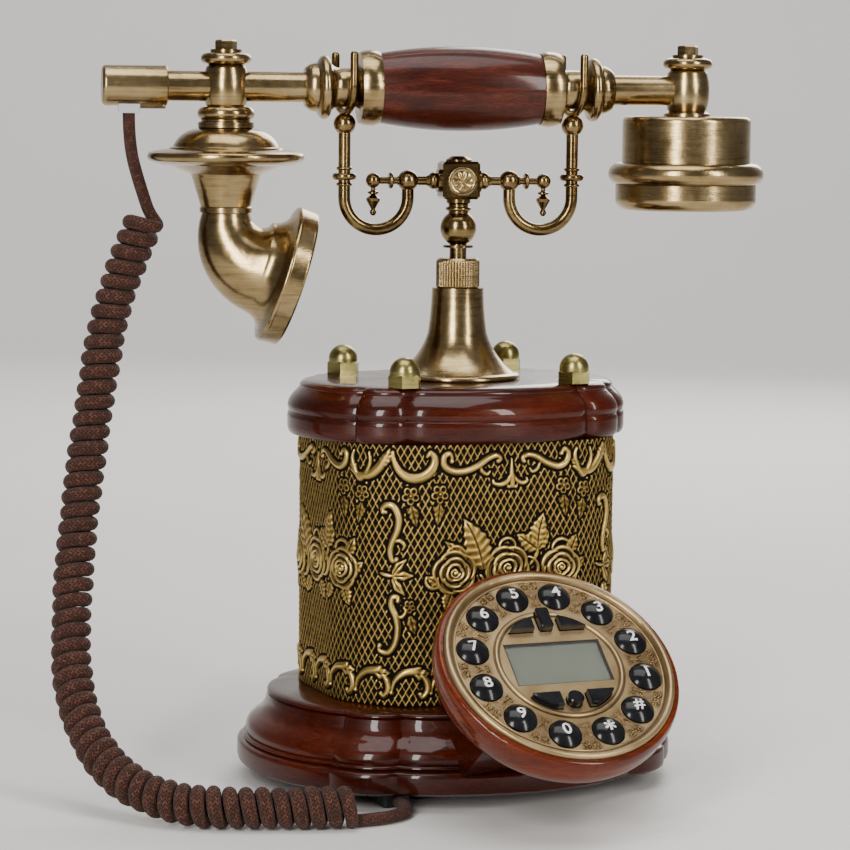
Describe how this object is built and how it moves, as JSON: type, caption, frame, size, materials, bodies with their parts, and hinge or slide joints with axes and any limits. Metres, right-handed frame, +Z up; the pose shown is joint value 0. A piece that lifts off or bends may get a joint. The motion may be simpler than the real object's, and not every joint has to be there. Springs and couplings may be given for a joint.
{
  "type": "desk telephone",
  "caption": "Antique-style column telephone: oval relief casing, cradle hook, brass and wood handset, leaning keypad dial with display, curly cord.",
  "frame": {"origin": "on the table, under the axis of the column that carries the cradle", "axes": "+Z up, -Y to the front, where the dial leans out, +X to the telephone's right"},
  "size_m": [0.2888, 0.214, 0.293],
  "materials": {
    "rubber_foot": "matt black rubber",
    "steel_plate": "zinc-plated steel",
    "dark_lacquer_wood": "glossy dark red-brown lacquer over wood",
    "black_plastic": "moulded black plastic",
    "antique_gold_relief": "gilded cast relief with black in the recesses",
    "olive_brass": "aged greenish brass",
    "antique_brass": "brushed antique brass, clear-coated",
    "dark_brass": "polished dark antique brass",
    "spring_steel": "drawn spring wire",
    "circuit_board": "green solder mask",
    "red_lacquer_wood": "glossy red-brown lacquer over wood",
    "dial_brass": "engraved satin brass",
    "display_glass": "clear cover",
    "display_grey": "grey liquid crystal display",
    "key_gloss_black": "glossy black",
    "grip_wood": "satin red-brown lacquered wood",
    "clear_plastic": "clear plastic",
    "braided_cord": "dark brown braided textile"
  },
  "bodies": {
    "base": {"foot_ring": "rubber_foot", "base_plate": "steel_plate", "plinth": "dark_lacquer_wood", "line_jack": "black_plastic", "casing": "antique_gold_relief", "top_plate": "dark_lacquer_wood", "tie_rods": "steel_plate", "acorn_nuts": "olive_brass", "column": "antique_brass", "knurled_collar": "antique_brass", "hook_switch": "steel_plate", "return_spring": "spring_steel", "main_board": "circuit_board", "ringer": "black_plastic", "cord_inlet": "black_plastic", "dial_pedestal": "dark_lacquer_wood", "dial_bowl": "red_lacquer_wood", "dial_face": "dial_brass", "display_window": "display_glass", "display_module": "display_grey", "keypad_board": "circuit_board", "cord_lead": "braided_cord", "cord_coil": "braided_cord", "cord_tail": "braided_cord"},
    "cradle": {"cradle_stem": "dark_brass", "cradle_block": "dark_brass", "crossbars": "dark_brass", "hook_arms": "dark_brass", "forks": "dark_brass"},
    "handset": {"handset_tubes": "antique_brass", "end_cap": "antique_brass", "hubs": "antique_brass", "hub_knobs": "antique_brass", "grip_sockets": "antique_brass", "wood_grip": "grip_wood", "transmitter_bell": "antique_brass", "microphone": "black_plastic", "mouth_horn": "antique_brass", "receiver_cup": "antique_brass", "receiver_cap": "antique_brass", "earpiece": "black_plastic", "cord_plug": "clear_plastic"},
    "key_0_cap": {"key_0": "key_gloss_black"},
    "key_1_cap": {"key_1": "key_gloss_black"},
    "key_2_cap": {"key_2": "key_gloss_black"},
    "key_3_cap": {"key_3": "key_gloss_black"},
    "key_4_cap": {"key_4": "key_gloss_black"},
    "key_5_cap": {"key_5": "key_gloss_black"},
    "key_6_cap": {"key_6": "key_gloss_black"},
    "key_7_cap": {"key_7": "key_gloss_black"},
    "key_8_cap": {"key_8": "key_gloss_black"},
    "key_9_cap": {"key_9": "key_gloss_black"},
    "key_star_cap": {"key_star": "key_gloss_black"},
    "key_hash_cap": {"key_hash": "key_gloss_black"},
    "key_redial_cap": {"key_redial": "key_gloss_black"},
    "key_clear_cap": {"key_clear": "key_gloss_black"},
    "key_flash_cap": {"key_flash": "key_gloss_black"},
    "key_up_cap": {"key_up": "key_gloss_black"},
    "key_set_cap": {"key_set": "key_gloss_black"},
    "key_down_cap": {"key_down": "key_gloss_black"}
  },
  "joints": [
    {"name": "hook_rise", "type": "slide", "parent": "base", "child": "cradle", "axis": [0, 0, 1], "range_m": [0, 0.005], "stiffness_N_per_m": 60, "springref_m": 0.012, "deforming": ["return_spring"]},
    {"name": "handset_lift", "type": "slide", "parent": "base", "child": "handset", "axis": [0, 0, 1], "range_m": [0, 0.06]},
    {"name": "key_0_press", "type": "slide", "parent": "base", "child": "key_0_cap", "axis": [0, 0.6494, -0.7604], "range_m": [0, 0.0015], "stiffness_N_per_m": 150},
    {"name": "key_1_press", "type": "slide", "parent": "base", "child": "key_1_cap", "axis": [0, 0.6494, -0.7604], "range_m": [0, 0.0015], "stiffness_N_per_m": 150},
    {"name": "key_2_press", "type": "slide", "parent": "base", "child": "key_2_cap", "axis": [0, 0.6494, -0.7604], "range_m": [0, 0.0015], "stiffness_N_per_m": 150},
    {"name": "key_3_press", "type": "slide", "parent": "base", "child": "key_3_cap", "axis": [0, 0.6494, -0.7604], "range_m": [0, 0.0015], "stiffness_N_per_m": 150},
    {"name": "key_4_press", "type": "slide", "parent": "base", "child": "key_4_cap", "axis": [0, 0.6494, -0.7604], "range_m": [0, 0.0015], "stiffness_N_per_m": 150},
    {"name": "key_5_press", "type": "slide", "parent": "base", "child": "key_5_cap", "axis": [0, 0.6494, -0.7604], "range_m": [0, 0.0015], "stiffness_N_per_m": 150},
    {"name": "key_6_press", "type": "slide", "parent": "base", "child": "key_6_cap", "axis": [0, 0.6494, -0.7604], "range_m": [0, 0.0015], "stiffness_N_per_m": 150},
    {"name": "key_7_press", "type": "slide", "parent": "base", "child": "key_7_cap", "axis": [0, 0.6494, -0.7604], "range_m": [0, 0.0015], "stiffness_N_per_m": 150},
    {"name": "key_8_press", "type": "slide", "parent": "base", "child": "key_8_cap", "axis": [0, 0.6494, -0.7604], "range_m": [0, 0.0015], "stiffness_N_per_m": 150},
    {"name": "key_9_press", "type": "slide", "parent": "base", "child": "key_9_cap", "axis": [0, 0.6494, -0.7604], "range_m": [0, 0.0015], "stiffness_N_per_m": 150},
    {"name": "key_star_press", "type": "slide", "parent": "base", "child": "key_star_cap", "axis": [0, 0.6494, -0.7604], "range_m": [0, 0.0015], "stiffness_N_per_m": 150},
    {"name": "key_hash_press", "type": "slide", "parent": "base", "child": "key_hash_cap", "axis": [0, 0.6494, -0.7604], "range_m": [0, 0.0015], "stiffness_N_per_m": 150},
    {"name": "key_redial_press", "type": "slide", "parent": "base", "child": "key_redial_cap", "axis": [0, 0.6494, -0.7604], "range_m": [0, 0.0015], "stiffness_N_per_m": 150},
    {"name": "key_clear_press", "type": "slide", "parent": "base", "child": "key_clear_cap", "axis": [0, 0.6494, -0.7604], "range_m": [0, 0.0015], "stiffness_N_per_m": 150},
    {"name": "key_flash_press", "type": "slide", "parent": "base", "child": "key_flash_cap", "axis": [0, 0.6494, -0.7604], "range_m": [0, 0.0015], "stiffness_N_per_m": 150},
    {"name": "key_up_press", "type": "slide", "parent": "base", "child": "key_up_cap", "axis": [0, 0.6494, -0.7604], "range_m": [0, 0.0015], "stiffness_N_per_m": 150},
    {"name": "key_set_press", "type": "slide", "parent": "base", "child": "key_set_cap", "axis": [0, 0.6494, -0.7604], "range_m": [0, 0.0015], "stiffness_N_per_m": 150},
    {"name": "key_down_press", "type": "slide", "parent": "base", "child": "key_down_cap", "axis": [0, 0.6494, -0.7604], "range_m": [0, 0.0015], "stiffness_N_per_m": 150}
  ],
  "couplings": [
    {"joint": "hook_rise", "follows": "handset_lift", "ratio": 0.0833}
  ]
}
